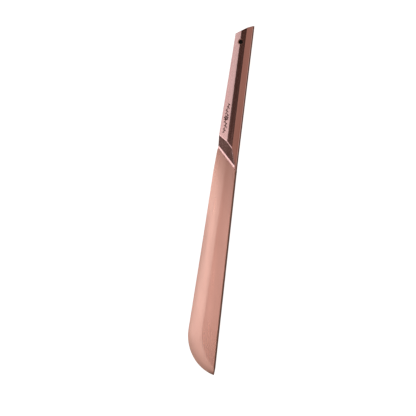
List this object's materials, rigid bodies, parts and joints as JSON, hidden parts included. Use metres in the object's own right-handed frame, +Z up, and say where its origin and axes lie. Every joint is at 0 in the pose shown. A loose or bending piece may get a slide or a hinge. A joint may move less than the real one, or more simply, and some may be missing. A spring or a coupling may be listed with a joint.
{
  "type": "knife",
  "caption": "All-metal knife with a faceted grip, a lined hanging hole, a diagonal shoulder, a straight spine and a rounded tip.",
  "frame": {"origin": "centre of the bottom of the bounding box, with the knife lying flat on the back of its grip", "axes": "+X from the butt to the tip along the blade's spine, +Y towards the spine, +Z up out of the front face"},
  "size_m": [0.33, 0.0328, 0.011],
  "materials": {
    "satin_blade": "satin brushed, rose copper colour",
    "brushed_grip": "brushed lengthways, rose copper colour",
    "tube_metal": "turned, rose copper colour",
    "plain_steel": "plain ground steel, hidden"
  },
  "bodies": {
    "root": {"blade_and_tang": "satin_blade", "front_scale": "brushed_grip", "back_scale": "brushed_grip", "hanging_tube": "tube_metal", "dowel_butt": "plain_steel", "dowel_middle": "plain_steel", "dowel_shoulder": "plain_steel"}
  },
  "joints": []
}
